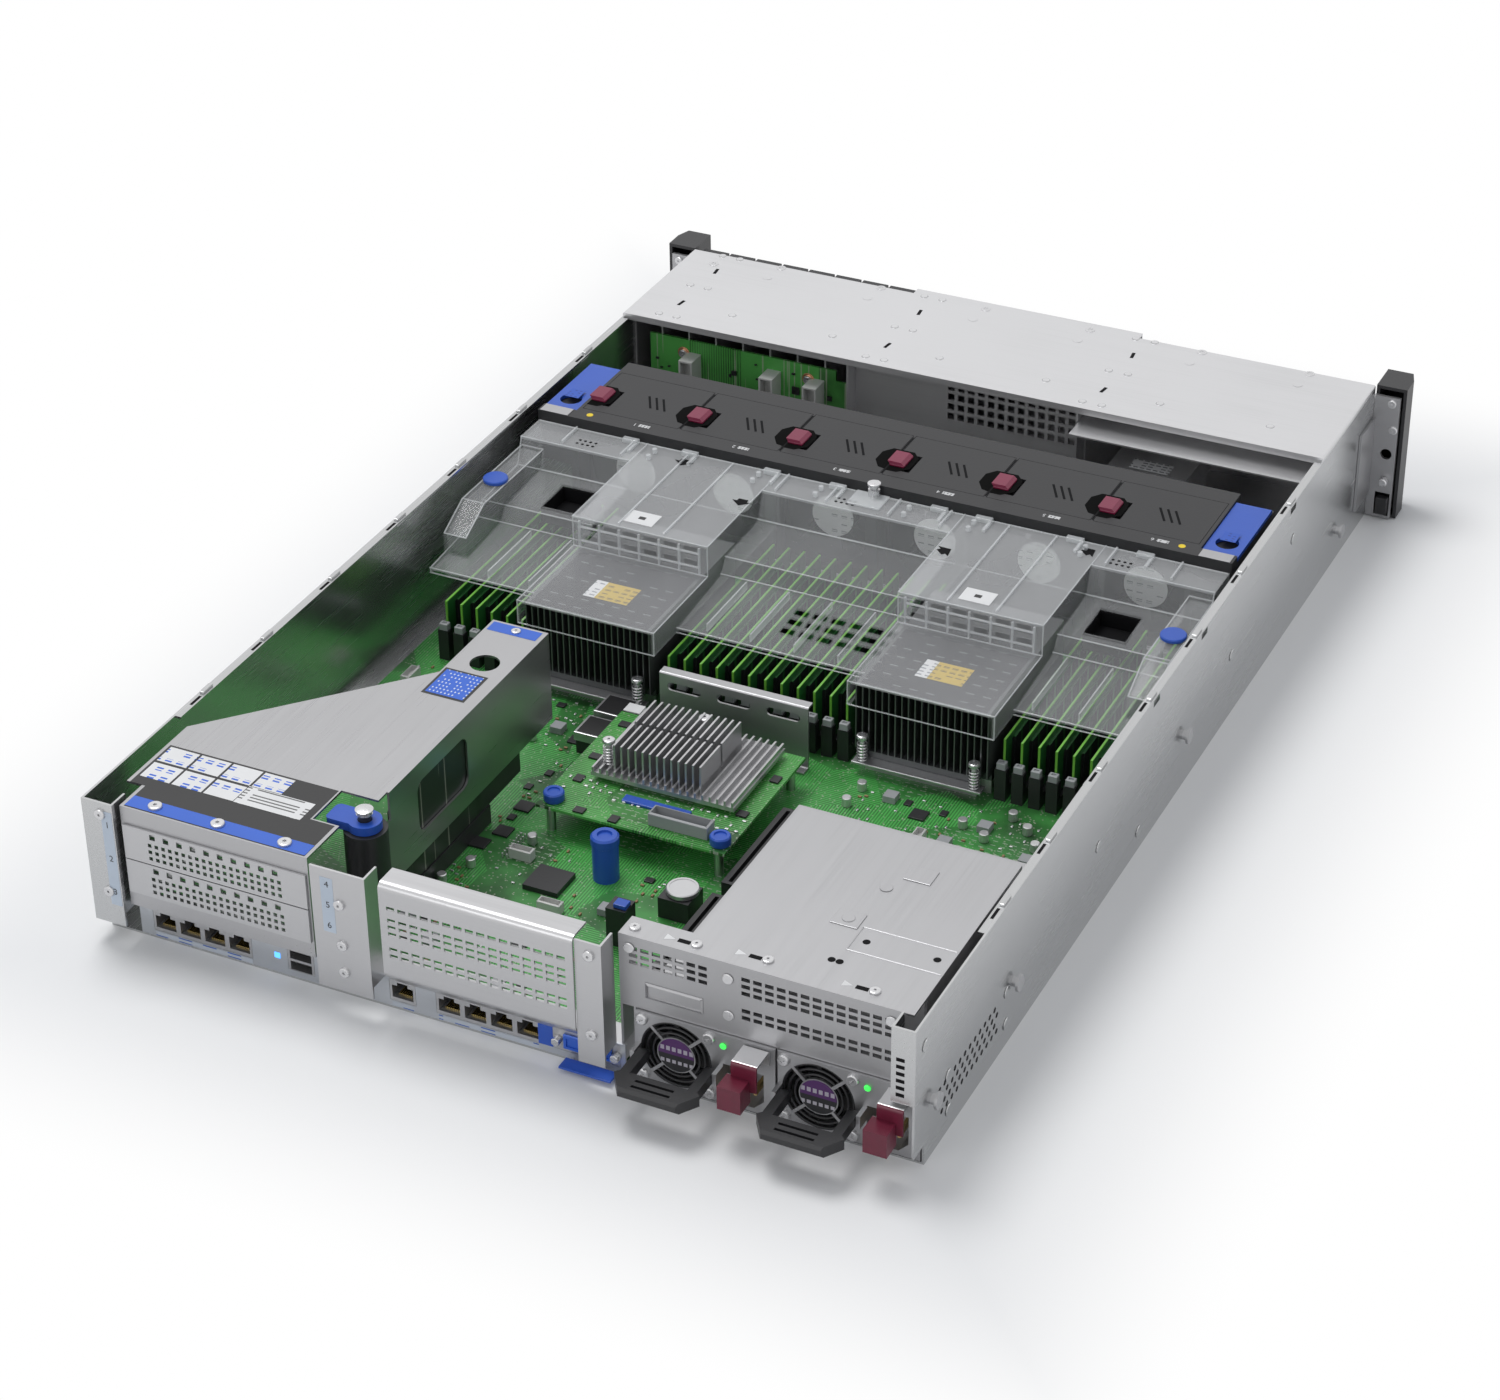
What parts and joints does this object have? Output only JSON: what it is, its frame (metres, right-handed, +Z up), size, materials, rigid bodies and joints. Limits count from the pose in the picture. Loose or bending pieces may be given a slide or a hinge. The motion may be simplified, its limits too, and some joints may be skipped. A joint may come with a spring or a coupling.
{
  "type": "rack server",
  "caption": "Two-unit rack server, access cover off: steel tray, lift-out fan cage, clear air baffle, finned coolers, memory, riser cage, slide-in power supplies, rack ears.",
  "frame": {"origin": "middle of the underside of the case, half way between its front and rear ends", "axes": "+Z up, +Y towards the rear sockets, +X across the rack towards the riser side"},
  "size_m": [0.4826, 0.7236, 0.0873],
  "materials": {
    "zinc_steel": "satin",
    "bright_steel": "satin",
    "dark_steel": "satin",
    "aluminium_fins": "satin",
    "black_plastic": "satin",
    "charcoal_plastic": "satin",
    "blue_plastic": "satin",
    "burgundy_plastic": "satin",
    "board_green": "satin",
    "board_black": "satin",
    "ivory_plastic": "satin",
    "clear_plastic": "satin"
  },
  "bodies": {
    "chassis": {"chassis_tray": "zinc_steel", "drive_bay_roof": "bright_steel", "bay_frame": "bright_steel", "sff_drive_cage": "bright_steel", "drive_blanks": "charcoal_plastic", "media_bay": "bright_steel", "drive_backplane": "board_green", "backplane_sockets": "ivory_plastic", "rack_ear_right": "zinc_steel", "rack_ear_left": "zinc_steel", "ear_cover_right": "black_plastic", "ear_cover_left": "black_plastic", "system_board": "board_green", "cpu_sockets": "zinc_steel", "cpu_heatsink_1": "aluminium_fins", "cpu_heatsink_2": "aluminium_fins", "dimm_sockets": "black_plastic", "dimm_modules": "board_green", "storage_controller": "board_green", "storage_controller_heatsink": "aluminium_fins", "mezzanine_bracket": "bright_steel", "card_connectors": "black_plastic", "board_parts": "charcoal_plastic", "rear_io_panel": "bright_steel", "rear_ports": "bright_steel", "rear_brackets": "bright_steel", "psu_cage": "bright_steel", "rail_studs": "bright_steel"},
    "riser": {"riser_cage": "bright_steel", "slot_blanks": "bright_steel", "riser_board": "board_black", "riser_latch_post": "black_plastic"},
    "riser_latch": {"riser_latch": "blue_plastic"},
    "fan_cage": {"fan_cage": "charcoal_plastic"},
    "fan_cage_lever_right": {"fan_cage_lever_right": "blue_plastic"},
    "fan_cage_lever_left": {"fan_cage_lever_left": "blue_plastic"},
    "air_baffle": {"air_baffle": "clear_plastic"},
    "ear_lever_right": {"ear_lever_right": "charcoal_plastic"},
    "ear_lever_left": {"ear_lever_left": "charcoal_plastic"},
    "power_button": {"power_button": "charcoal_plastic"},
    "fan_module_1": {"fan_module_1": "charcoal_plastic"},
    "fan_rotor_1": {"fan_rotor_1": "black_plastic"},
    "fan_module_2": {"fan_module_2": "charcoal_plastic"},
    "fan_rotor_2": {"fan_rotor_2": "black_plastic"},
    "fan_module_3": {"fan_module_3": "charcoal_plastic"},
    "fan_rotor_3": {"fan_rotor_3": "black_plastic"},
    "fan_module_4": {"fan_module_4": "charcoal_plastic"},
    "fan_rotor_4": {"fan_rotor_4": "black_plastic"},
    "fan_module_5": {"fan_module_5": "charcoal_plastic"},
    "fan_rotor_5": {"fan_rotor_5": "black_plastic"},
    "fan_module_6": {"fan_module_6": "charcoal_plastic"},
    "fan_rotor_6": {"fan_rotor_6": "black_plastic"},
    "psu_1": {"psu_1_body": "bright_steel"},
    "psu_1_handle": {"psu_1_handle": "black_plastic"},
    "psu_1_latch": {"psu_1_latch": "burgundy_plastic"},
    "psu_1_rotor": {"psu_1_rotor": "black_plastic"},
    "psu_2": {"psu_2_body": "bright_steel"},
    "psu_2_handle": {"psu_2_handle": "black_plastic"},
    "psu_2_latch": {"psu_2_latch": "burgundy_plastic"},
    "psu_2_rotor": {"psu_2_rotor": "black_plastic"}
  },
  "joints": [
    {"name": "riser_lift", "type": "slide", "parent": "chassis", "child": "riser", "axis": [0, 0, 1], "range_m": [0, 0.09]},
    {"name": "riser_latch_turn", "type": "hinge", "parent": "riser", "child": "riser_latch", "pos_m": [0.0895, 0.303, 0.0786], "axis": [0, 0, 1], "range_deg": [-180, 0]},
    {"name": "fan_cage_lift", "type": "slide", "parent": "chassis", "child": "fan_cage", "axis": [0, 0, 1], "range_m": [0, 0.09]},
    {"name": "fan_cage_lever_right_turn", "type": "hinge", "parent": "fan_cage", "child": "fan_cage_lever_right", "pos_m": [0.2024, -0.1672, 0.0811], "axis": [1, 0, 0], "range_deg": [0, 90]},
    {"name": "fan_cage_lever_left_turn", "type": "hinge", "parent": "fan_cage", "child": "fan_cage_lever_left", "pos_m": [-0.2024, -0.1672, 0.0811], "axis": [1, 0, 0], "range_deg": [0, 90]},
    {"name": "fan_module_1_lift", "type": "slide", "parent": "fan_cage", "child": "fan_module_1", "axis": [0, 0, 1], "range_m": [0, 0.09]},
    {"name": "fan_rotor_1_spin", "type": "hinge", "parent": "fan_module_1", "child": "fan_rotor_1", "pos_m": [0.15875, -0.138, 0.046], "axis": [0, 1, 0], "continuous": true},
    {"name": "fan_module_2_lift", "type": "slide", "parent": "fan_cage", "child": "fan_module_2", "axis": [0, 0, 1], "range_m": [0, 0.09]},
    {"name": "fan_rotor_2_spin", "type": "hinge", "parent": "fan_module_2", "child": "fan_rotor_2", "pos_m": [0.09525, -0.138, 0.046], "axis": [0, 1, 0], "continuous": true},
    {"name": "fan_module_3_lift", "type": "slide", "parent": "fan_cage", "child": "fan_module_3", "axis": [0, 0, 1], "range_m": [0, 0.09]},
    {"name": "fan_rotor_3_spin", "type": "hinge", "parent": "fan_module_3", "child": "fan_rotor_3", "pos_m": [0.03175, -0.138, 0.046], "axis": [0, 1, 0], "continuous": true},
    {"name": "fan_module_4_lift", "type": "slide", "parent": "fan_cage", "child": "fan_module_4", "axis": [0, 0, 1], "range_m": [0, 0.09]},
    {"name": "fan_rotor_4_spin", "type": "hinge", "parent": "fan_module_4", "child": "fan_rotor_4", "pos_m": [-0.03175, -0.138, 0.046], "axis": [0, 1, 0], "continuous": true},
    {"name": "fan_module_5_lift", "type": "slide", "parent": "fan_cage", "child": "fan_module_5", "axis": [0, 0, 1], "range_m": [0, 0.09]},
    {"name": "fan_rotor_5_spin", "type": "hinge", "parent": "fan_module_5", "child": "fan_rotor_5", "pos_m": [-0.09525, -0.138, 0.046], "axis": [0, 1, 0], "continuous": true},
    {"name": "fan_module_6_lift", "type": "slide", "parent": "fan_cage", "child": "fan_module_6", "axis": [0, 0, 1], "range_m": [0, 0.09]},
    {"name": "fan_rotor_6_spin", "type": "hinge", "parent": "fan_module_6", "child": "fan_rotor_6", "pos_m": [-0.15875, -0.138, 0.046], "axis": [0, 1, 0], "continuous": true},
    {"name": "air_baffle_lift", "type": "slide", "parent": "chassis", "child": "air_baffle", "axis": [0, 0, 1], "range_m": [0, 0.09]},
    {"name": "psu_1_slide", "type": "slide", "parent": "chassis", "child": "psu_1", "axis": [0, 1, 0], "range_m": [0, 0.19]},
    {"name": "psu_1_handle_turn", "type": "hinge", "parent": "psu_1", "child": "psu_1_handle", "pos_m": [-0.0979, 0.342, 0.02], "axis": [1, 0, 0], "range_deg": [0, 70]},
    {"name": "psu_1_latch_flex", "type": "hinge", "parent": "psu_1", "child": "psu_1_latch", "pos_m": [-0.1319, 0.3385, 0.03], "axis": [0, 0, 1], "range_deg": [-6, 0], "stiffness_Nm_per_rad": 0.6},
    {"name": "psu_1_rotor_spin", "type": "hinge", "parent": "psu_1", "child": "psu_1_rotor", "pos_m": [-0.096, 0.326, 0.0217], "axis": [0, 1, 0], "continuous": true},
    {"name": "psu_2_slide", "type": "slide", "parent": "chassis", "child": "psu_2", "axis": [0, 1, 0], "range_m": [0, 0.19]},
    {"name": "psu_2_handle_turn", "type": "hinge", "parent": "psu_2", "child": "psu_2_handle", "pos_m": [-0.1713, 0.342, 0.02], "axis": [1, 0, 0], "range_deg": [0, 70]},
    {"name": "psu_2_latch_flex", "type": "hinge", "parent": "psu_2", "child": "psu_2_latch", "pos_m": [-0.2053, 0.3385, 0.03], "axis": [0, 0, 1], "range_deg": [-6, 0], "stiffness_Nm_per_rad": 0.6},
    {"name": "psu_2_rotor_spin", "type": "hinge", "parent": "psu_2", "child": "psu_2_rotor", "pos_m": [-0.1694, 0.326, 0.0217], "axis": [0, 1, 0], "continuous": true},
    {"name": "ear_lever_right_turn", "type": "hinge", "parent": "chassis", "child": "ear_lever_right", "pos_m": [0.22635, -0.3485, 0.04], "axis": [0, 0, 1], "range_deg": [-60, 0]},
    {"name": "ear_lever_left_turn", "type": "hinge", "parent": "chassis", "child": "ear_lever_left", "pos_m": [-0.22635, -0.3485, 0.04], "axis": [0, 0, 1], "range_deg": [0, 60]},
    {"name": "power_button_press", "type": "slide", "parent": "chassis", "child": "power_button", "axis": [0, 1, 0], "range_m": [0, 0.0012], "stiffness_N_per_m": 300}
  ]
}
